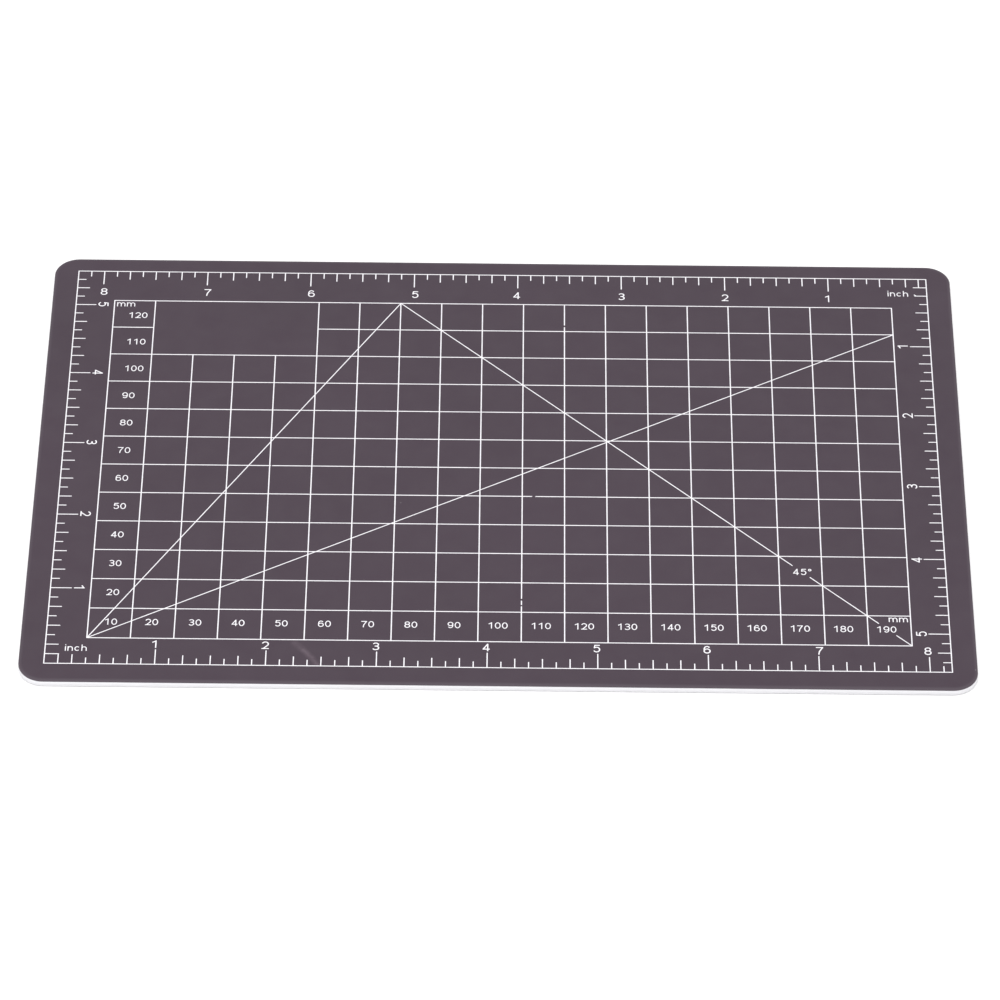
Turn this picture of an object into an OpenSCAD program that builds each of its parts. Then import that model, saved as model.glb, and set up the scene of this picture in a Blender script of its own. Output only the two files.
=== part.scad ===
// Self healing cutting mat of A5 class: three plies laminated into one sheet, with a printed
// 10 mm grid, angle lines and four inch scales on the dark cutting skin.
// Millimetres, +Z up. The origin is the centre of the underside, +X runs along the long side
// and +Y from the front edge to the back edge. The numerals read upright from the front.

/* [Mat] */
// Length of the mat along X
mat_w = 220; // [140:1:450]
// Depth of the mat along Y
mat_d = 150; // [100:1:320]
// Radius of the four corners
corner_r = 6; // [2:0.5:20]
// Thickness of the dark cutting skin
skin_t = 0.5; // [0.3:0.05:1.5]
// Thickness of the stiff white core ply
core_t = 1; // [0.5:0.05:3]
// Thickness of the soft white base ply
base_t = 0.5; // [0.3:0.05:1.5]
// Thickness of the dried ink film
ink_t = 0.03; // [0.01:0.01:0.1]

/* [Border and inch scales] */
// From the mat's left and right edges to the border line
side_margin = 5.86; // [4:0.01:20]
// From the mat's front and back edges to the border line, if the print were centred
end_margin = 5.15; // [4:0.01:20]
// How far the whole print sits towards the back
print_shift = 0.5; // [-1:0.1:1]
// Width of the border line
border_line = 0.27; // [0.2:0.01:0.6]
// Width of the scale marks
tick_line = 0.27; // [0.2:0.01:0.6]
// Length of a mark at a whole inch
inch_tick = 4.95; // [4:0.05:7]
// Length of a mark at a quarter of an inch
quarter_tick = 3.05; // [2.5:0.05:3.9]
// Length of a mark at an eighth of an inch
eighth_tick = 2; // [1:0.05:2.4]
// How far beyond the border's right end the zero of the back scale lies
back_zero = 1.27; // [0:0.01:2]

/* [Inch numerals and unit marks] */
// Height of an inch numeral
inch_num_h = 2.5; // [1.5:0.05:4]
// Width of an inch numeral
inch_num_w = 1.68; // [1:0.02:3]
// Width of its pen stroke
inch_num_line = 0.3; // [0.2:0.01:0.5]
// From a whole inch mark to its numeral on the front, left and right scales
inch_num_gap = 0.5; // [0.2:0.05:2]
// From a whole inch mark to its numeral on the back scale
back_num_gap = 1.5; // [0.2:0.05:2]
// How far the press sets some numerals off their places
num_drift = 0.25; // [0:0.05:0.4]
// From the quarter marks to the word inch in the corners
unit_mark_clear = 1.4; // [0.4:0.05:3]
// Height of the tall letters of a unit mark
unit_mark_h = 2.1; // [1.2:0.05:3]
// Width of the pen stroke of a unit mark
unit_mark_line = 0.25; // [0.15:0.01:0.4]

/* [Millimetre grid] */
// Width of the grid lines
grid_line = 0.28; // [0.2:0.01:0.6]
// Width of the angle lines
angle_line = 0.26; // [0.2:0.01:0.6]
// Clearance from the front numerals to the grid
front_clear = 0.7; // [0.4:0.05:5]
// Clearance from the left numerals to the grid
left_clear = 1.45; // [0.4:0.05:5]
// Least clearance from the right numerals to the grid
right_clear = 0.85; // [0.4:0.05:5]
// Least clearance from the back numerals to the grid
back_clear = 1.7; // [0.4:0.05:5]
// Columns between the left side of the grid and the bare panel
panel_first = 1; // [1:1:3]
// Width of the bare panel in columns
panel_cols = 4; // [2:1:6]
// Depth of the bare panel in rows
panel_rows = 2; // [1:1:4]

/* [Millimetre numerals] */
// Height of a millimetre numeral
mm_num_h = 2.1; // [1.2:0.05:2.8]
// Width of one of its figures
mm_num_w = 1.36; // [0.8:0.02:1.8]
// Space between two figures
mm_num_space = 0.27; // [0.1:0.01:0.6]
// Width of its pen stroke
mm_num_line = 0.25; // [0.15:0.01:0.4]
// Foot of a numeral above the lower line of its cell
mm_num_foot = 4.4; // [3:0.1:6]
// Middle of the first row numerals from the left lines of their cells
row_num_x = 4.7; // [4:0.1:6]
// Step from one row numeral to the next
row_num_step = 9.97; // [9.8:0.01:10]
// Left end of the column numerals from the left line of the grid
column_num_x = 3.65; // [2:0.05:4]
// Step from one column numeral to the next
column_num_step = 9.91; // [9.8:0.01:10]
// From the sides of the grid to its unit marks
mm_mark_side = 0.75; // [0.4:0.05:2]
// From the back line of the grid to the foot of its unit mark
mm_mark_drop = 2.2; // [2:0.05:6]
// From the back line of the front right cell to the foot of its unit mark
end_mark_drop = 2.05; // [1.7:0.05:6]

/* [Angle mark] */
// From the end of the 45 degree line to the middle of its gap, along each axis
angle_mark_x = 24.85; // [14:0.05:26]
// Half the gap that the 45 degree line leaves for a mark on it
angle_mark_gap = 2.75; // [2:0.05:4]
// From the middle of the gap to the left end of the mark
angle_num_left = 1.9; // [1.5:0.05:3]
// From the middle of the gap to the foot of the mark
angle_num_low = 1.2; // [0.8:0.05:2]
// Space between the two figures of the mark, and from them to the degree ring
angle_num_space = 0.4; // [0.1:0.01:0.6]
// Radius to the middle of the degree ring's line
degree_r = 0.28; // [0.2:0.01:0.4]
// Width of the degree ring's line
degree_line = 0.24; // [0.1:0.01:0.3]

/* [Hidden] */

skin_colour = [0.35, 0.31, 0.345];
ply_colour = [0.95, 0.95, 0.96];
base_colour = [0.92, 0.92, 0.93];
ink_colour = [0.94, 0.93, 0.95];

inch = 25.4;
eighth = inch / 8;
cell = 10;
corner_faces = 96;
// Steps of a full turn of the pen
pen_steps = 16;

stack_t = base_t + core_t + skin_t;
border_w = mat_w - 2 * side_margin;
border_d = mat_d - 2 * end_margin;
// Front left corner of the border
border_at = [-border_w / 2, -border_d / 2 + print_shift];

// The grid starts clear of the left and front numerals and has as many whole cells as fit
grid_at = border_at + [
  inch_tick + inch_num_gap + inch_num_h + left_clear,
  inch_tick + inch_num_gap + inch_num_h + front_clear
];
grid_room = border_at + [border_w, border_d] - grid_at - [
  inch_tick + inch_num_gap + inch_num_h + right_clear,
  inch_tick + back_num_gap + inch_num_h + back_clear
];
grid_cols = floor(grid_room[0] / cell);
grid_rows = floor(grid_room[1] / cell);

// The angle lines start at the grid's front left corner and end on whole cells of its far sides
steep_end = ray_end(60);
shallow_end = ray_end(30);
// The 45 degree line falls from the end of the steep one
fall_cells = min(grid_rows, grid_cols - steep_end[0]);
fall_end = steep_end + [fall_cells, -fall_cells];

unit_mark_x_height = 0.72 * unit_mark_h;
letter_space = 0.28 * unit_mark_h;
// Width of the letters n, c and h, and of the letter m
letter_w = 0.48 * unit_mark_h;
wide_letter_w = 0.86 * unit_mark_h;
mm_mark_w = 2 * wide_letter_w + letter_space;
inch_mark_w = 3 * letter_w + 3 * letter_space;

// Where the foot of an inch numeral stands, measured from the border line
inch_num_foot = inch_tick + inch_num_gap;
back_num_foot = inch_tick + back_num_gap + inch_num_h;
// A mark nearer than this share of an eighth to the far corner is left out
least_share = 0.1;

// Cell in which a line at this angle from the grid's first corner meets the far side
function ray_end(angle) =
  let (rise = round(grid_cols * tan(angle)))
  rise <= grid_rows ? [grid_cols, rise] : [round(grid_rows / tan(angle)), grid_rows];

function along(from, to) = (to - from) / norm(to - from);
function left_of(v) = [-v[1], v[0]];

// Offset of corner i of a path that keeps both of its edges one unit from the pen's line
function mitre(path, i, closed) =
  let (
    n = len(path),
    into = closed || i > 0 ? along(path[(i + n - 1) % n], path[i]) : along(path[0], path[1]),
    away = closed || i < n - 1 ? along(path[i], path[(i + 1) % n]) : into
  )
  (left_of(into) + left_of(away)) / (1 + into * away);

function pen_edge(path, offset, closed) =
  [for (i = [0:len(path) - 1]) path[i] + offset * mitre(path, i, closed)];

function reversed(list) = [for (i = [len(list) - 1:-1:0]) list[i]];

// Points of an elliptical arc about c with radii r, from one angle to another
function arc(c, r, from, to) =
  let (n = max(2, round(pen_steps * abs(to - from) / 360)))
  [for (i = [0:n]) let (a = from + (to - from) * i / n) c + [r[0] * cos(a), r[1] * sin(a)]];

// Points of a whole oval about c with radii r
function oval(c, r) =
  [for (i = [0:pen_steps - 1]) let (a = 360 * i / pen_steps) c + [r[0] * cos(a), r[1] * sin(a)]];

// Gives an outline the thickness of the ink film
module film() {
  linear_extrude(ink_t) children();
}

// A pen stroke of width w along an open path
module stroke(path, w) {
  film() polygon(concat(pen_edge(path, w / 2, false), reversed(pen_edge(path, -w / 2, false))));
}

// A pen stroke of width w around a closed path that runs anticlockwise
module loop(path, w) {
  n = len(path);
  film() polygon(
    concat(pen_edge(path, -w / 2, true), pen_edge(path, w / 2, true)),
    [[for (i = [0:n - 1]) i], [for (i = [2 * n - 1:-1:n]) i]]
  );
}

// One figure, w wide and h high with its foot at the origin's left, drawn with pen width s
module figure(name, w, h, s) {
  mid = w / 2;
  low = s / 2;
  top = h - s / 2;
  half = (w - s) / 2;
  tall = (h - s) / 2;
  waist = 0.53 * h;
  if (name == "0") {
    loop(oval([mid, h / 2], [half, tall]), s);
  }
  if (name == "1") {
    stem = 0.64 * w;
    stroke([[stem, 0], [stem, h]], s);
    stroke([[0.14 * w, 0.73 * h], [stem, h - 0.75 * s]], s);
  }
  if (name == "2") {
    bowl = 0.28 * h;
    stroke(concat(arc([mid, top - bowl], [half, bowl], 165, -25), [[0.13 * w + low, 0.8 * low]]), s);
    stroke([[0, low], [w, low]], s);
  }
  if (name == "3") {
    upper = (top - waist) / 2;
    lower = (waist - low) / 2;
    stroke(concat(arc([mid, waist + upper], [0.9 * half, upper], 155, -90), [[0.36 * w, waist]]), s);
    stroke(arc([mid, waist - lower], [half, lower], 90, -155), s);
  }
  if (name == "4") {
    stem = 0.71 * w;
    bar = 0.28 * h;
    stroke([[stem, 0], [stem, h]], s);
    stroke([[0, bar], [w, bar]], s);
    stroke([[low, bar], [stem - 0.1 * s, h - 0.45 * s]], s);
  }
  if (name == "5") {
    bowl = 0.31 * h;
    turn = 143;
    centre = [mid, low + bowl];
    shoulder = centre + [half * cos(turn), bowl * sin(turn)];
    stroke([[0.94 * w, top], [0.26 * w, top], shoulder], s);
    stroke(arc(centre, [half, bowl], turn, -155), s);
  }
  if (name == "6") {
    six(mid, h, half, tall, s);
  }
  if (name == "7") {
    stroke([[0, top], [w, top]], s);
    stroke([[w - 0.55 * s, h - 0.6 * s], [0.46 * w, 0.4 * h], [0.36 * w, 0]], s);
  }
  if (name == "8") {
    upper = (top - waist) / 2;
    lower = (waist - low) / 2;
    loop(oval([mid, waist + upper], [0.88 * half, upper]), s);
    loop(oval([mid, low + lower], [half, lower]), s);
  }
  if (name == "9") {
    translate([w, h]) rotate(180) six(mid, h, half, tall, s);
  }
}

// The figure 6: a closed bowl and the long left arm above it
module six(mid, h, half, tall, s) {
  bowl = 0.27 * h;
  loop(oval([mid, s / 2 + bowl], [half, bowl]), s);
  stroke(arc([mid, h / 2], [half, tall], 185, 38), s);
}

// A whole number with its foot's left end at the origin
module number(value, w, h, s, space) {
  text_value = str(value);
  for (i = [0:len(text_value) - 1])
    translate([i * (w + space), 0]) figure(text_value[i], w, h, s);
}

function number_w(value, w, space) = len(str(value)) * (w + space) - space;

// A millimetre numeral with its foot's left end at the origin
module mm_number(value) {
  number(value, mm_num_w, mm_num_h, mm_num_line, mm_num_space);
}

// An inch numeral with the middle of its foot at the origin
module inch_number(value) {
  translate([-number_w(value, inch_num_w, mm_num_space) / 2, 0])
    number(value, inch_num_w, inch_num_h, inch_num_line, mm_num_space);
}

// An arch of a small letter: a stem on the right that rounds over to the left at x height
module arch(w) {
  low = unit_mark_line / 2;
  r = [w / 2, 0.3 * unit_mark_h];
  spring = unit_mark_x_height - low - r[1];
  stroke(concat([[w, 0]], arc([w / 2, spring], r, 0, 180)), unit_mark_line);
}

module upright(h) {
  stroke([[0, 0], [0, h]], unit_mark_line);
}

// The letter m with its left stem's middle at the origin
module letter_m() {
  half = wide_letter_w / 2;
  upright(unit_mark_x_height);
  arch(half);
  translate([half, 0]) arch(half);
}

module mm_mark() {
  letter_m();
  translate([wide_letter_w + letter_space, 0]) letter_m();
}

// The word inch with its first stem's middle at the origin
module inch_mark() {
  n_at = letter_space;
  c_at = n_at + letter_w + letter_space;
  h_at = c_at + letter_w + letter_space;
  upright(unit_mark_x_height);
  translate([0, unit_mark_h - unit_mark_line]) upright(unit_mark_line);
  translate([n_at, 0]) {
    upright(unit_mark_x_height);
    arch(letter_w);
  }
  r = [letter_w / 2, (unit_mark_x_height - unit_mark_line) / 2];
  translate([c_at, 0]) stroke(arc([r[0], unit_mark_x_height / 2], r, 42, 318), unit_mark_line);
  translate([h_at, 0]) {
    upright(unit_mark_h);
    arch(letter_w);
  }
}

// The mat's outline, a rectangle with round corners
module mat_outline() {
  square([mat_w - 2 * corner_r, mat_d], center = true);
  square([mat_w, mat_d - 2 * corner_r], center = true);
  for (x = [-1, 1])
    for (y = [-1, 1])
      translate([x * (mat_w / 2 - corner_r), y * (mat_d / 2 - corner_r)])
        circle(r = corner_r, $fn = corner_faces);
}

module ply(z, t) {
  translate([0, 0, z]) linear_extrude(t) mat_outline();
}

// Lays printed films on top of the skin
module ink() {
  color(ink_colour) translate([0, 0, stack_t]) children();
}

// A line of width w along X from x0 to x1 at y
module line_x(x0, x1, y, w) {
  translate([x0, y - w / 2, 0]) cube([x1 - x0, w, ink_t]);
}

// A line of width w along Y from y0 to y1 at x
module line_y(x, y0, y1, w) {
  translate([x - w / 2, y0, 0]) cube([w, y1 - y0, ink_t]);
}

// Length of the scale mark that is this many eighths of an inch from zero. The first marks of
// two scales that share a zero meet and close a square in the corner.
function tick_length(n) =
  n == 1 ? eighth + tick_line / 2 : n % 8 == 0 ? inch_tick : n % 2 == 0 ? quarter_tick : eighth_tick;

function last_tick(length) = ceil(length / eighth - least_share) - 1;

// Marks of one scale along +X from its zero at the origin, pointing to +Y
module ticks(first, last) {
  for (n = [first:last]) line_y(n * eighth, 0, tick_length(n), tick_line);
}

module border() {
  film() difference() {
    square([border_w + border_line, border_d + border_line], center = true);
    square([border_w - border_line, border_d - border_line], center = true);
  }
}

// The border line and the marks of the four scales, in one connected film
module scale_lines() {
  translate([0, print_shift]) border();
  translate(border_at) ticks(1, last_tick(border_w));
  translate(border_at + [border_w + back_zero, border_d])
    rotate(180) ticks(1, last_tick(border_w + back_zero));
  translate(border_at) mirror([1, -1, 0]) ticks(1, last_tick(border_d));
  translate(border_at + [border_w, border_d])
    rotate(180) mirror([1, -1, 0]) ticks(1, last_tick(border_d));
}

// Whole inches of a scale of this length whose numerals stay clear of the far corner
function last_inch(length) = floor((length - inch_num_w - quarter_tick) / inch);

// The front numerals stand left of their marks, but the 7 right of it and the 8 also higher
function front_num_offset(n) =
  n == 7 ? [num_drift, 0] : n == 8 ? [-num_drift, num_drift] : [-num_drift, 0];

module front_inch_numerals() {
  for (n = [1:last_inch(border_w)])
    translate(border_at + [n * inch, inch_num_foot] + front_num_offset(n)) inch_number(n);
}

// The back numerals from the 5 on stand right of their marks, but the 1 and the 4 left of them
function back_num_x(n) =
  border_w + back_zero - n * inch + (n == 1 || n == 4 ? -num_drift : n > 4 ? num_drift : 0);

module back_inch_numerals() {
  for (n = [1:last_inch(border_w + back_zero)])
    translate(border_at + [back_num_x(n), border_d - back_num_foot]) inch_number(n);
}

// The left numerals stand behind their marks
module left_inch_numerals() {
  for (n = [1:last_inch(border_d)])
    translate(border_at + [inch_num_foot, n * inch + num_drift]) rotate(-90) inch_number(n);
}

// The right numerals from the 2 on stand a little nearer to their marks, and the 4 to the front
function right_num_offset(n) = [n > 1 ? num_drift / 2 : 0, n == 4 ? -num_drift : 0];

module right_inch_numerals() {
  for (n = [1:last_inch(border_d)])
    translate(border_at + [border_w - inch_num_foot, border_d - n * inch] + right_num_offset(n))
      rotate(90) inch_number(n);
}

// Columns whose lines stop at the bare panel, and rows whose lines leave it out
function meets_panel(i) = i > panel_first && i < panel_first + panel_cols;
function crosses_panel(j) = j > grid_rows - panel_rows && j < grid_rows;

// The 10 mm lines of the grid, with the grid's front left corner at the origin
module grid_lines() {
  reach = grid_line / 2;
  panel_end = panel_first + panel_cols;
  for (i = [0:grid_cols])
    line_y(i * cell, -reach, (grid_rows - (meets_panel(i) ? panel_rows : 0)) * cell + reach, grid_line);
  for (j = [0:grid_rows])
    if (crosses_panel(j)) {
      line_x(-reach, panel_first * cell + reach, j * cell, grid_line);
      line_x(panel_end * cell - reach, grid_cols * cell + reach, j * cell, grid_line);
    } else {
      line_x(-reach, grid_cols * cell + reach, j * cell, grid_line);
    }
}

// Removes the 45 degree line where a mark stands on it, this far from the line's end
module mark_gap(from_end) {
  translate(fall_end * cell + from_end * [-1, 1])
    rotate(-45) cube([2 * angle_mark_gap, 2 * angle_line, 3 * ink_t], center = true);
}

// The 60, 30 and 45 degree lines, with the grid's front left corner at the origin
module angle_lines() {
  stroke([[0, 0], steep_end * cell], angle_line);
  stroke([[0, 0], shallow_end * cell], angle_line);
  difference() {
    stroke([steep_end * cell, fall_end * cell], angle_line);
    mark_gap(angle_mark_x);
    if (fall_end[1] == 0) mark_gap(mm_num_foot + mm_num_h / 2);
  }
}

// The first numeral stands further right, between the angle lines, and those of three figures
// a little to the right
function row_num_at(n) =
  let (shift = n == 1 ? 2 * num_drift : n < 10 ? 0 : num_drift / 2)
  (n - 1) * row_num_step + row_num_x + shift - number_w(n * cell, mm_num_w, mm_num_space) / 2;

module row_numerals() {
  difference() {
    for (n = [1:grid_cols]) translate([row_num_at(n), mm_num_foot]) mm_number(n * cell);
    angle_lines();
  }
}

module column_numerals() {
  for (n = [2:grid_rows])
    translate([column_num_x, mm_num_foot + cell + (n - 2) * column_num_step]) mm_number(n * cell);
}

module base_ply() {
  color(base_colour) ply(0, base_t);
}

module core_ply() {
  color(ply_colour) ply(base_t, core_t);
}

module cutting_skin() {
  color(skin_colour) ply(base_t + core_t, skin_t);
}

module inch_scale_print() {
  ink() scale_lines();
}

module mm_grid_print() {
  ink() translate(grid_at) {
    grid_lines();
    angle_lines();
  }
}

module front_inch_numerals_print() {
  ink() difference() {
    front_inch_numerals();
    scale_lines();
  }
}

module back_inch_numerals_print() {
  ink() difference() {
    back_inch_numerals();
    scale_lines();
  }
}

module left_inch_numerals_print() {
  ink() difference() {
    left_inch_numerals();
    scale_lines();
  }
}

module right_inch_numerals_print() {
  ink() difference() {
    right_inch_numerals();
    scale_lines();
  }
}

module mm_row_numerals_print() {
  ink() translate(grid_at) row_numerals();
}

module mm_column_numerals_print() {
  ink() translate(grid_at) column_numerals();
}

module inch_unit_marks_print() {
  clear = quarter_tick + unit_mark_clear;
  ink() {
    translate(border_at + [clear + num_drift, clear - num_drift]) inch_mark();
    translate(border_at + [border_w - clear - inch_mark_w - num_drift, border_d - clear - unit_mark_h])
      inch_mark();
  }
}

module mm_unit_marks_print() {
  ink() translate(grid_at) {
    translate([mm_mark_side, grid_rows * cell - mm_mark_drop]) mm_mark();
    translate([grid_cols * cell - mm_mark_side - mm_mark_w, cell - end_mark_drop]) mm_mark();
  }
}

module angle_mark_print() {
  foot_at = grid_at + fall_end * cell + [-angle_mark_x - angle_num_left, angle_mark_x - angle_num_low];
  reach = degree_r + degree_line / 2;
  ring_x = number_w(45, mm_num_w, angle_num_space) + angle_num_space + reach;
  ink() translate(foot_at) {
    number(45, mm_num_w, mm_num_h, mm_num_line, angle_num_space);
    loop(oval([ring_x, mm_num_h - reach], [degree_r, degree_r]), degree_line);
  }
}

base_ply();
core_ply();
cutting_skin();
inch_scale_print();
mm_grid_print();
front_inch_numerals_print();
back_inch_numerals_print();
left_inch_numerals_print();
right_inch_numerals_print();
mm_row_numerals_print();
mm_column_numerals_print();
inch_unit_marks_print();
mm_unit_marks_print();
angle_mark_print();
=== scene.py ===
"""The looks of the self healing cutting mat: three laminated plies and the print on the skin."""
import math

import bmesh
import bpy
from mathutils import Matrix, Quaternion, Vector, geometry, noise


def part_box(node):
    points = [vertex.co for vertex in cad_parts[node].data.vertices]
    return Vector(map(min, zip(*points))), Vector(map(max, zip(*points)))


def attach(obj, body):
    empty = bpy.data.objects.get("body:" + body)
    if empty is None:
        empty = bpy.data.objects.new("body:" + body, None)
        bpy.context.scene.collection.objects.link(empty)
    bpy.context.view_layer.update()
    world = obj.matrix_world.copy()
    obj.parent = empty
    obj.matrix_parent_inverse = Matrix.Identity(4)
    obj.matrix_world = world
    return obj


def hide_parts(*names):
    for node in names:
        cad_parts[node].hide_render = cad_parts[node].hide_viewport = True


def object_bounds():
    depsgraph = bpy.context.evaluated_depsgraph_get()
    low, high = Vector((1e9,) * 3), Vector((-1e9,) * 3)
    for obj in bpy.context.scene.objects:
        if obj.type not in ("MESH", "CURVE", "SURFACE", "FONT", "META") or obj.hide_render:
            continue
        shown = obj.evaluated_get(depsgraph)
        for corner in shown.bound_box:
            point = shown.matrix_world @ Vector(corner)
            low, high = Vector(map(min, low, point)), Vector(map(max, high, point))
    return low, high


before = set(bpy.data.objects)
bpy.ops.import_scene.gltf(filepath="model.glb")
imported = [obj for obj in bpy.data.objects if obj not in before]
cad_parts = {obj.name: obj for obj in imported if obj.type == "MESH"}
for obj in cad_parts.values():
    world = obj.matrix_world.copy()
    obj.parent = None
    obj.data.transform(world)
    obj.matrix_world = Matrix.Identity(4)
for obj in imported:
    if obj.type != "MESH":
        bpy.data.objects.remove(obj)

CAD_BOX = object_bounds()
MM = 0.001

# Camera: place, aim and reach in metres, turn about its own axis, lens and sensor in millimetres
CAMERA_AT = Vector((0.00113, -1.08711, 0.97458))
CAMERA_AIM = Vector((0.00002, -0.01205, 0.0020))
CAMERA_ROLL = math.radians(0.54)
CAMERA_LENS = 221.09
CAMERA_SENSOR = 36.0
CAMERA_REACH = 50.0

# Light and floor, in metres and watts
WORLD_LIGHT = 1.25
FLOOR_SIZE = 12.0
KEY_AT = Vector((-0.10, -0.30, 0.42))
KEY_SIZE = 0.3
KEY_WATTS = 0.6

# The three plies: their corners, the waves of their cut walls, rounded edges and joint grooves
CORNER_R = 6.0 * MM
CORNER_STEPS = 24
WALL_STEP = 1.5 * MM
WALL_WAVE = 0.012 * MM
WALL_WAVE_LENGTH = 2.3 * MM
WALL_WAVE_CLIMB = 3
SKIN_EDGE_R = 0.2 * MM
BASE_EDGE_R = 0.3 * MM
JOINT_GROOVE = 0.03 * MM
CAP_SUPPORT = 0.35 * MM
ROUND_STEPS = 6

# The ink film: the longest step along its edge, the lean of its edge, and its corners
INK_STEP = 0.55 * MM
INK_SLOPE = 0.022 * MM
INK_CORNER_R = 0.05 * MM
# A point that turns less than this, with shorter stretches than this on both sides, is on a curve
SMOOTH_TURN = math.radians(26)
SMOOTH_REACH = 1.6 * MM
# About how far a curve turns from one of its points to the next, at most
TURN_STEP = math.radians(10)
# Waves of the ink's uneven edge, as size and length
INK_WAVES = ((0.011 * MM, 2.6 * MM), (0.006 * MM, 0.7 * MM))
# Points nearer than these are one point: where triangles meet, and along an outline
MERGE = 0.0001 * MM
SHORT_STEP = 0.04 * MM
# The triangulation gives every triangle of the hull, and merges points this near, in millimetres
CUT_OUTPUT = 0
CUT_MERGE = 1e-5

# Ragged ovals, for bare places and flecks
OVAL_STEPS = 14
OVAL_RAGGED = 0.25
OVAL_WAVES = 3

# One scuff on the skin, in millimetres, as strokes with their start, end, width and strength
SCUFF = (
    ((-46.8, -61.8), (-44.9, -64.0), 1.2, 0.6),
    ((-44.9, -64.0), (-42.7, -66.8), 1.05, 1.0),
    ((-42.7, -66.8), (-41.5, -68.8), 0.95, 0.85),
)

# Places where the press left the ink out, in millimetres, as middle, half length and half depth
INK_GAPS = {
    "mm_grid_print": (
        ((5.30, -46.45), 0.32, 0.34),
        ((5.22, -48.45), 0.30, 0.23),
        ((8.00, -10.70), 0.40, 0.30),
        ((-54.32, -0.70), 0.12, 0.30),
        ((15.26, 51.25), 0.32, 0.34),
    ),
}

# Flecks of ink beside the print, in the same way
INK_FLECKS = {
    "inch_scale_print": (
        ((101.30, 64.14), 0.18, 0.20),
        ((101.10, 64.38), 0.16, 0.20),
    ),
}

# Colours as linear red, green and blue, with alpha. Tones are two that a pattern blends.
FLOOR_TONES = ((0.93, 0.93, 0.93, 1), (0.95, 0.95, 0.95, 1))
SKIN_TONES = ((0.0393, 0.0235, 0.0368, 1), (0.0428, 0.0254, 0.0404, 1))
SKIN_MOTTLE = (0.040, 0.030, 0.040, 1)
# Painted highlight: a paler tone along the skin's rim, where its rounded edge catches the light
RIM_HIGHLIGHT = (0.20, 0.18, 0.20, 1)
SCUFFED_SKIN = (0.25, 0.19, 0.23, 1)
DUST = (0.45, 0.43, 0.45, 1)
CORE_TONES = ((0.705, 0.70, 0.72, 1), (0.67, 0.665, 0.69, 1))
BASE_TONES = ((0.71, 0.705, 0.725, 1), (0.66, 0.655, 0.68, 1))
# Painted contact shadow: a grey band at the foot of the white cut wall, where the mat stands on the
# floor
CONTACT_SHADE = (0.29, 0.28, 0.29, 1)
INK_TONES = ((0.79, 0.775, 0.81, 1), (0.85, 0.835, 0.87, 1))
PINHOLE = (0.16, 0.13, 0.16, 1)

# Other material values: layers that show along a cut edge, cells that hold dust, refraction
CORE_STRATA = 0.09 * MM
BASE_STRATA = 0.14 * MM
DUST_CELL = 11 * MM
PLASTIC_IOR = 1.5


def new_object(name, data):
    made = bpy.data.objects.new(name, data)
    bpy.context.scene.collection.objects.link(made)
    return made


# Camera, light and floor

def make_camera():
    camera = new_object("camera", bpy.data.cameras.new("camera"))
    camera.data.lens = CAMERA_LENS
    camera.data.sensor_width = CAMERA_SENSOR
    camera.data.clip_end = CAMERA_REACH
    camera.location = CAMERA_AT
    look = (CAMERA_AIM - CAMERA_AT).to_track_quat("-Z", "Y")
    camera.rotation_mode = "QUATERNION"
    camera.rotation_quaternion = look @ Quaternion((0, 0, 1), CAMERA_ROLL)
    bpy.context.scene.camera = camera


def make_light():
    world = bpy.data.worlds.new("studio")
    world.use_nodes = True
    background = world.node_tree.nodes["Background"]
    background.inputs["Color"].default_value = (1, 1, 1, 1)
    background.inputs["Strength"].default_value = WORLD_LIGHT
    bpy.context.scene.world = world
    key = new_object("key_light", bpy.data.lights.new("key_light", "AREA"))
    key.data.shape = "SQUARE"
    key.data.size = KEY_SIZE
    key.data.energy = KEY_WATTS
    key.location = KEY_AT
    key.rotation_euler = KEY_AT.to_track_quat("Z", "Y").to_euler()
    key.visible_camera = False
    bpy.context.scene.view_settings.view_transform = "Standard"


def make_floor():
    mesh = bpy.data.meshes.new("floor")
    half = FLOOR_SIZE / 2
    corners = [(-half, -half, 0), (half, -half, 0), (half, half, 0), (-half, half, 0)]
    mesh.from_pydata(corners, [], [(0, 1, 2, 3)])
    floor = new_object("floor", mesh)
    mesh.materials.append(floor_material())


# Materials

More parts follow.
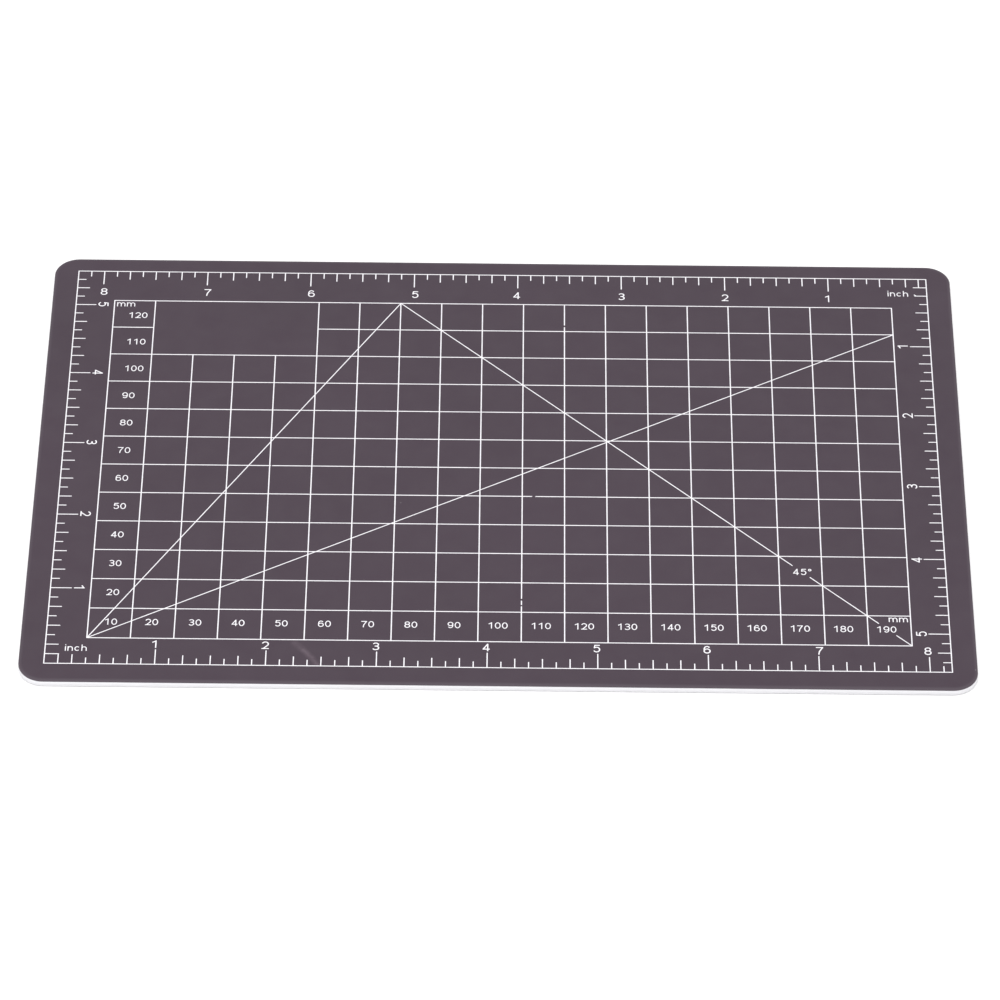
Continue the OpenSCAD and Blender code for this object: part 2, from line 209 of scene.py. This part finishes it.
class Shader:
    """A node material with one Principled shader, and short ways to add what drives it."""

    def __init__(self, name, roughness, specular):
        self.material = bpy.data.materials.new(name)
        self.material.use_nodes = True
        self.tree = self.material.node_tree
        self.principled = self.tree.nodes["Principled BSDF"]
        self.set("Roughness", roughness)
        self.set("Specular IOR Level", specular)
        self.set("IOR", PLASTIC_IOR)
        self.place = self.tree.nodes.new("ShaderNodeTexCoord").outputs["Object"]

    def add(self, kind, **inputs):
        node = self.tree.nodes.new("ShaderNode" + kind)
        for name, value in inputs.items():
            self.feed(value, node.inputs[name.replace("_", " ")])
        return node

    def feed(self, value, socket):
        """Sets a socket to a value, or links it where the value is another node's output."""
        if isinstance(value, bpy.types.NodeSocket):
            self.tree.links.new(value, socket)
        else:
            socket.default_value = value

    def math(self, operation, a, b):
        node = self.add("Math")
        node.operation = operation
        self.feed(a, node.inputs[0])
        self.feed(b, node.inputs[1])
        return node.outputs[0]

    def vector(self, operation, a, b=(0, 0, 0)):
        node = self.add("VectorMath")
        node.operation = operation
        self.feed(a, node.inputs[0])
        self.feed(b, node.inputs[1])
        return node.outputs["Value" if operation in ("LENGTH", "DISTANCE", "DOT_PRODUCT") else 0]

    def stretched(self, scale):
        """The place on the piece scaled along each axis. A small scale draws noise out along it."""
        return self.vector("MULTIPLY", self.place, scale)

    def noise(self, size, detail=2.0, place=None):
        """Soft noise whose features are about this many metres across."""
        node = self.add("TexNoise", Vector=place or self.place, Scale=1 / size, Detail=detail)
        return node.outputs["Fac"]

    def spread(self, value, low, high, to_low=0.0, to_high=1.0):
        """The value's range from low to high mapped to another range, and held at its ends."""
        node = self.add("MapRange", Value=value, From_Min=low, From_Max=high)
        self.feed(to_low, node.inputs["To Min"])
        self.feed(to_high, node.inputs["To Max"])
        return node.outputs[0]

    def blend(self, share, first, second):
        """The first colour where the share is 0, the second where it is 1."""
        node = self.add("Mix")
        node.data_type = "RGBA"
        self.feed(share, node.inputs["Factor"])
        sockets = [socket for socket in node.inputs if socket.type == "RGBA"]
        for socket, colour in zip(sockets, (first, second)):
            self.feed(colour, socket)
        return next(socket for socket in node.outputs if socket.type == "RGBA")

    def set(self, socket, value):
        """Feeds one of the Principled shader's own sockets."""
        self.feed(value, self.principled.inputs[socket])

    def bump(self, height, depth, strength=1.0, under=None):
        """The shader's normal over a height from 0 to 1 that stands for this depth in metres."""
        node = self.add("Bump", Height=height, Distance=depth, Strength=strength)
        if under:
            self.feed(under, node.inputs["Normal"])
        return node.outputs["Normal"]


def floor_material():
    floor = Shader("floor_white", roughness=0.8, specular=0.2)
    floor.set("Base Color", floor.blend(floor.noise(size=200 * MM), *FLOOR_TONES))
    return floor.material


def edge_distance(shader):
    """How far inside the mat's outline a point lies, up to the corner radius, from nodes alone."""
    high = CAD_BOX[1]
    corner_middle = (high.x - CORNER_R, high.y - CORNER_R, 0)
    folded = shader.vector("SUBTRACT", shader.vector("ABSOLUTE", shader.place), corner_middle)
    beyond = shader.vector("MAXIMUM", folded, (0, 0, 0))
    flat = shader.vector("MULTIPLY", beyond, (1, 1, 0))
    return shader.math("SUBTRACT", CORNER_R, shader.vector("LENGTH", flat))


def stroke_mask(shader, start, end, width, strength):
    """This strength on the line from start to end, falling to 0 at this width from it."""
    start = Vector((*start, 0)) * MM
    run = Vector((*end, 0)) * MM - start
    offset = shader.vector("SUBTRACT", shader.vector("MULTIPLY", shader.place, (1, 1, 0)), start)
    share = shader.math("DIVIDE", shader.vector("DOT_PRODUCT", offset, run), run.length_squared)
    nearest = shader.add("VectorMath")
    nearest.operation = "SCALE"
    shader.feed(run, nearest.inputs[0])
    shader.feed(shader.spread(share, 0, 1), nearest.inputs["Scale"])
    away = shader.vector("DISTANCE", offset, nearest.outputs[0])
    return shader.spread(away, 0, width * MM, to_low=strength, to_high=0)


def skin_with_rim_highlight(skin):
    """The skin's colour: tone clouds and a fine mottle, with a painted highlight that makes it paler
    along the rim, where the rounded edge catches the light.
    """
    tone = skin.blend(skin.spread(skin.noise(size=45 * MM, detail=3), 0.3, 0.7), *SKIN_TONES)
    mottle = skin.spread(skin.noise(size=1.1 * MM), 0.35, 0.65, to_high=0.12)
    # Painted highlight: the skin turns paler within a millimetre of its outline, where the rounded edge
    # catches the light
    rim = skin.spread(edge_distance(skin), 0.1 * MM, 0.9 * MM, to_low=0.16, to_high=0)
    return skin.blend(rim, skin.blend(mottle, tone, SKIN_MOTTLE), RIM_HIGHLIGHT)


def scuff_share(skin):
    """How much of the scuff's colour shows: its strokes, broken up by noise."""
    scuff = 0.0
    for stroke in SCUFF:
        scuff = skin.math("MAXIMUM", scuff, stroke_mask(skin, *stroke))
    broken = skin.spread(skin.noise(size=0.9 * MM, detail=3), 0.35, 0.7, to_low=0.15, to_high=0.28)
    return skin.math("MULTIPLY", scuff, broken)


def dust_share(skin):
    """How much dust shows: a speck about 0.02 of a cell across in one of seven cells, by chance."""
    cells = skin.add("TexVoronoi", Vector=skin.place, Scale=1 / DUST_CELL)
    speck = skin.spread(cells.outputs["Distance"], 0.008, 0.014, to_low=0.4, to_high=0)
    chance = skin.add("SeparateColor", Color=cells.outputs["Color"]).outputs[0]
    return skin.math("MULTIPLY", speck, skin.math("GREATER_THAN", chance, 0.86))


def skin_material():
    """Dark plum PVC: an even matte grain, faint tone clouds, a painted highlight along the rim, dust
    and one scuff.
    """
    skin = Shader("skin_pvc", roughness=0.6, specular=0.4)
    scuffed = skin.blend(scuff_share(skin), skin_with_rim_highlight(skin), SCUFFED_SKIN)
    skin.set("Base Color", skin.blend(dust_share(skin), scuffed, DUST))
    polish = skin.noise(size=6 * MM, detail=4)
    skin.set("Roughness", skin.spread(polish, 0.3, 0.7, to_low=0.56, to_high=0.66))
    grain = skin.bump(skin.noise(size=0.32 * MM), depth=0.012 * MM)
    skin.set("Normal", skin.bump(skin.noise(size=3.5 * MM), depth=0.01 * MM, strength=0.5, under=grain))
    return skin.material


def white_material(name, tones, strata):
    """White PVC: fine layers drawn along its cut edge, a painted contact shadow along the foot of its
    wall and faint handling marks.
    """
    white = Shader(name, roughness=0.5, specular=0.4)
    plain, shade = tones
    layers = white.noise(size=strata, place=white.stretched((0.02, 0.02, 1)))
    drag = white.noise(size=0.6 * MM, place=white.stretched((1, 1, 0.15)))
    wall = white.spread(edge_distance(white), 0.3 * MM, 0.6 * MM, to_low=1, to_high=0)
    showing = white.math("MAXIMUM", wall, 0.2)
    stripes = white.math("MULTIPLY", white.spread(layers, 0.35, 0.65, to_low=1, to_high=0), showing)
    marks = white.spread(white.noise(size=12 * MM, detail=4), 0.55, 0.75, to_high=0.35)
    worn = white.blend(marks, white.blend(stripes, plain, shade), shade)
    height = white.add("SeparateXYZ", Vector=white.place).outputs[2]
    # Painted contact shadow: the lowest fraction of a millimetre of the cut wall is darkened, broken up
    # a little by noise
    foot = white.math("MULTIPLY", white.spread(height, 0.1 * MM, 0.32 * MM, to_low=1, to_high=0), wall)
    painted_contact_shade = white.math("MULTIPLY", foot, white.spread(drag, 0.3, 0.7, to_low=0.7, to_high=0.95))
    white.set("Base Color", white.blend(painted_contact_shade, worn, CONTACT_SHADE))
    polish = white.noise(size=4 * MM, detail=3)
    white.set("Roughness", white.spread(polish, 0.3, 0.7, to_low=0.46, to_high=0.6))
    relief = white.bump(white.math("ADD", layers, drag), depth=0.01 * MM)
    grain = white.noise(size=0.4 * MM)
    white.set("Normal", white.bump(grain, depth=0.012 * MM, strength=0.8, under=relief))
    return white.material


def ink_material():
    """Screen printed white ink: slightly uneven cover, with pinholes that let the skin show."""
    ink = Shader("white_ink", roughness=0.45, specular=0.4)
    cover = ink.spread(ink.noise(size=4 * MM, detail=3), 0.3, 0.7)
    pinholes = ink.spread(ink.noise(size=0.11 * MM, detail=1), 0.70, 0.76, to_high=0.7)
    ink.set("Base Color", ink.blend(pinholes, ink.blend(cover, *INK_TONES), PINHOLE))
    ink.set("Roughness", ink.spread(ink.noise(size=1.2 * MM), 0.3, 0.7, to_low=0.4, to_high=0.55))
    ink.set("Normal", ink.bump(ink.noise(size=0.3 * MM), depth=0.006 * MM))
    return ink.material


# Plies

def mat_outline():
    """The mat's outline as points and outward directions, anticlockwise from its right side."""
    high = CAD_BOX[1]
    middles = [
        Vector((x * (high.x - CORNER_R), y * (high.y - CORNER_R)))
        for x, y in ((1, 1), (-1, 1), (-1, -1), (1, -1))
    ]
    outline = []
    for turn, middle in enumerate(middles):
        for step in range(CORNER_STEPS + 1):
            angle = math.pi / 2 * (turn + step / CORNER_STEPS)
            outward = Vector((math.cos(angle), math.sin(angle)))
            outline.append((middle + outward * CORNER_R, outward))
        end = outline[-1][0]
        start = middles[(turn + 1) % 4] + outline[-1][1] * CORNER_R
        count = round((start - end).length / WALL_STEP)
        for step in range(1, count):
            outline.append((end.lerp(start, step / count), outline[-1][1]))
    return outline


def wall_wave(point, z):
    """How far the cut wall lies inside the true outline, from 0 to twice the wave's size."""
    place = Vector((point.x, point.y, z * WALL_WAVE_CLIMB)) / WALL_WAVE_LENGTH
    return WALL_WAVE * (1 + noise.noise(place))


def ply_mesh(name, profile):
    """A closed sheet whose wall follows a profile of (inset, z) from its foot to its top."""
    outline = mat_outline()
    mesh = bmesh.new()
    rings = []
    for inset, z in profile:
        ring = []
        for point, outward in outline:
            place = point - outward * (inset + wall_wave(point, z))
            ring.append(mesh.verts.new((place.x, place.y, z)))
        rings.append(ring)
    count = len(outline)
    for lower, upper in zip(rings, rings[1:]):
        for i in range(count):
            j = (i + 1) % count
            mesh.faces.new((lower[i], lower[j], upper[j], upper[i]))
    mesh.faces.new(rings[-1])
    mesh.faces.new(list(reversed(rings[0])))
    return finished_mesh(mesh, name)


def finished_mesh(mesh, name):
    """The mesh as smooth shaded data, with its normals pointing out."""
    bmesh.ops.recalc_face_normals(mesh, faces=mesh.faces)
    for face in mesh.faces:
        face.smooth = True
    data = bpy.data.meshes.new(name)
    mesh.to_mesh(data)
    mesh.free()
    return data


def rounded(r, z, quarter):
    """Profile points of a rounded edge: quarter 1 turns in at the top, quarter -1 at the foot."""
    points = []
    for step in range(ROUND_STEPS + 1):
        angle = math.pi / 2 * step / ROUND_STEPS
        points.append((r - r * math.cos(angle), z + quarter * (r * math.sin(angle) - r)))
    return points if quarter > 0 else list(reversed(points))


def flat_cap(inset, z):
    """A ring a little inside an edge, which keeps the flat face beyond it evenly shaded."""
    return [(inset + CAP_SUPPORT, z)]


def grooved_foot(z):
    """The lower edge of a ply that lies on another, with half of the groove between them."""
    return flat_cap(JOINT_GROOVE, z) + [(JOINT_GROOVE, z), (0, z + JOINT_GROOVE)]


def grooved_top(z):
    """The upper edge of a ply that lies under another, with half of the groove between them."""
    return [(0, z - JOINT_GROOVE), (JOINT_GROOVE, z)] + flat_cap(JOINT_GROOVE, z)


def make_skin():
    low, high = (corner.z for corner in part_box("cutting_skin"))
    top = rounded(SKIN_EDGE_R, high, 1) + flat_cap(SKIN_EDGE_R, high)
    return ply_mesh("skin_sheet", grooved_foot(low) + top)


def make_core():
    low, high = (corner.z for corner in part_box("core_ply"))
    return ply_mesh("core_sheet", grooved_foot(low) + grooved_top(high))


def make_base():
    low, high = (corner.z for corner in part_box("base_ply"))
    foot = flat_cap(BASE_EDGE_R, low) + rounded(BASE_EDGE_R, low, -1)
    return ply_mesh("base_sheet", foot + grooved_top(high))


# Ink film

def all_sides(triangles):
    """Every side of these triangles as a pair of point numbers, each in its own direction."""
    return {(triangle[i - 1], triangle[i]) for triangle in triangles for i in range(3)}


def boundary_loops(triangles):
    """Closed loops of point numbers round a set of anticlockwise triangles."""
    edges = all_sides(triangles)
    following = {}
    for a, b in sorted(edges):
        if (b, a) not in edges:
            following.setdefault(a, []).append(b)
    loops = []
    for start in sorted(following):
        while following[start]:
            loop = [start]
            at = following[start].pop()
            while at != start:
                loop.append(at)
                at = following[at].pop()
            loops.append(loop)
    return loops


def without_steps(loop):
    """The loop without points that lie almost on the one before."""
    kept = []
    for point in loop:
        if not kept or (point - kept[-1]).length > SHORT_STEP:
            kept.append(point)
    return kept


def top_outlines(node):
    """Outlines of a packed print's top face as points, in metres."""
    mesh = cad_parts[node].data
    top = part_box(node)[1].z
    numbers, points, triangles = {}, [], []
    mesh.calc_loop_triangles()
    for triangle in mesh.loop_triangles:
        corners = [mesh.vertices[i].co for i in triangle.vertices]
        if min(corner.z for corner in corners) < top - MERGE:
            continue
        keys = [(round(corner.x / MERGE), round(corner.y / MERGE)) for corner in corners]
        for key, corner in zip(keys, corners):
            if key not in numbers:
                numbers[key] = len(points)
                points.append(Vector((corner.x, corner.y)))
        triangles.append([numbers[key] for key in keys])
    return [without_steps([points[i] for i in loop]) for loop in boundary_loops(triangles)]


def stations(loop):
    """A loop's points with the direction in which it passes each, its sharp corners rounded."""
    count = len(loop)
    made = []
    for i, point in enumerate(loop):
        into = point - loop[i - 1]
        away = loop[(i + 1) % count] - point
        if into.angle(away) < SMOOTH_TURN and max(into.length, away.length) < SMOOTH_REACH:
            made.append((point, (into + away).normalized()))
            continue
        start = point - into.normalized() * min(INK_CORNER_R, into.length / 3)
        end = point + away.normalized() * min(INK_CORNER_R, away.length / 3)
        made.append((start, into.normalized()))
        made.append(((start + end + 2 * point) / 4, (end - start).normalized()))
        made.append((end, away.normalized()))
    return made


def curve_between(first, second):
    """Points from one station up to the next, on a cubic curve that follows both directions."""
    (p, p_way), (q, q_way) = first, second
    length = (q - p).length
    count = max(1, math.ceil(length / INK_STEP), math.ceil(p_way.angle(q_way) / TURN_STEP))
    for step in range(count):
        u = step / count
        leave = u * (1 - u) ** 2 * length
        arrive = u * u * (1 - u) * length
        ease = u * u * (3 - 2 * u)
        yield p.lerp(q, ease) + p_way * leave - q_way * arrive


def inked(loop):
    """The loop as ink takes it: curved, with rounded corners and a slightly uneven edge."""
    stops = stations(loop)
    points = []
    for i, stop in enumerate(stops):
        points += curve_between(stop, stops[(i + 1) % len(stops)])
    count = len(points)
    uneven = []
    for i, point in enumerate(points):
        way = (points[(i + 1) % count] - points[i - 1]).normalized()
        outward = Vector((way.y, -way.x))
        shift = sum(size * noise.noise(point.to_3d() / length) for size, length in INK_WAVES)
        uneven.append(point + outward * shift)
    return uneven


def ragged_oval(middle, half_x, half_y):
    """The outline of a place that ink leaves bare, or of a fleck of ink."""
    outline = []
    for step in range(OVAL_STEPS):
        angle = 2 * math.pi * step / OVAL_STEPS
        x, y = math.cos(angle), math.sin(angle)
        ragged = 1 + OVAL_RAGGED * noise.noise(Vector((OVAL_WAVES * x, OVAL_WAVES * y, middle[1])))
        outline.append((Vector(middle) + ragged * Vector((half_x * x, half_y * y))) * MM)
    return outline


def filled(loops, flecks, gaps):
    """Points, in metres, and triangles inside an odd number of loops or a fleck, and in no gap."""
    flat, faces = [], []
    for loop in loops + flecks + gaps:
        first = len(flat)
        flat += [point / MM for point in loop]
        numbers = list(range(first, len(flat)))
        faces.append(numbers if signed_area(loop) > 0 else numbers[::-1])
    cut = geometry.delaunay_2d_cdt(flat, [], faces, CUT_OUTPUT, CUT_MERGE, True)
    points, _, triangles, _, _, owners = cut
    first_fleck = len(loops)
    first_gap = first_fleck + len(flecks)
    covered = set()
    for triangle, within in zip(triangles, owners):
        drawn = sum(i < first_fleck for i in within) % 2 == 1
        flecked = any(first_fleck <= i < first_gap for i in within)
        bare = any(i >= first_gap for i in within)
        if (drawn or flecked) and not bare:
            covered.add(tuple(triangle))
    whole = [tuple(triangle) for triangle in triangles]
    return [point * MM for point in points], mended(whole, covered)


def mended(triangles, covered):
    """The covered triangles without lone ones, and with lone bare ones filled in. Both are left
    where an edge crosses itself."""
    edges = all_sides(covered)
    kept = []
    for triangle in triangles:
        neighbours = sum((triangle[i], triangle[i - 1]) in edges for i in range(3))
        if neighbours == 3 or (triangle in covered and neighbours > 0):
            kept.append(triangle)
    return kept


def signed_area(loop):
    """The area inside a loop, positive where it runs anticlockwise."""
    return sum(a.cross(b) for a, b in zip(loop, loop[1:] + loop[:1])) / 2


def film_mesh(name, node):
    """The print of one node as a closed film whose edge slopes in towards its top."""
    low, high = (corner.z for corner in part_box(node))
    flecks = [ragged_oval(*fleck) for fleck in INK_FLECKS.get(node, ())]
    gaps = [ragged_oval(*gap) for gap in INK_GAPS.get(node, ())]
    points, triangles = filled([inked(loop) for loop in top_outlines(node)], flecks, gaps)
    loops = boundary_loops(triangles)
    tops = {i: points[i] for triangle in triangles for i in triangle}
    for loop in loops:
        count = len(loop)
        for k, i in enumerate(loop):
            way = points[loop[(k + 1) % count]] - points[loop[k - 1]]
            tops[i] = points[i] + Vector((-way.y, way.x)).normalized() * INK_SLOPE
    mesh = bmesh.new()
    lower = {i: mesh.verts.new((points[i].x, points[i].y, low)) for i in tops}
    upper = {i: mesh.verts.new((tops[i].x, tops[i].y, high)) for i in tops}
    for a, b, c in triangles:
        mesh.faces.new((upper[a], upper[b], upper[c]))
        mesh.faces.new((lower[c], lower[b], lower[a]))
    for loop in loops:
        for i, j in zip(loop, loop[1:] + loop[:1]):
            mesh.faces.new((lower[i], lower[j], upper[j], upper[i]))
    return finished_mesh(mesh, name)


# Assembly

def add_piece(mesh, node, material):
    piece = new_object(mesh.name, mesh)
    mesh.materials.append(material)
    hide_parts(node)
    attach(piece, "root")


def add_plies():
    core_white = white_material("core_pvc", CORE_TONES, CORE_STRATA)
    base_white = white_material("base_pvc", BASE_TONES, BASE_STRATA)
    add_piece(make_skin(), "cutting_skin", skin_material())
    add_piece(make_core(), "core_ply", core_white)
    add_piece(make_base(), "base_ply", base_white)


def add_print():
    ink = ink_material()
    for node in sorted(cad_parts):
        if node.endswith("_print"):
            add_piece(film_mesh(node.replace("_print", "_ink"), node), node, ink)


make_camera()
make_light()
make_floor()
add_plies()
add_print()
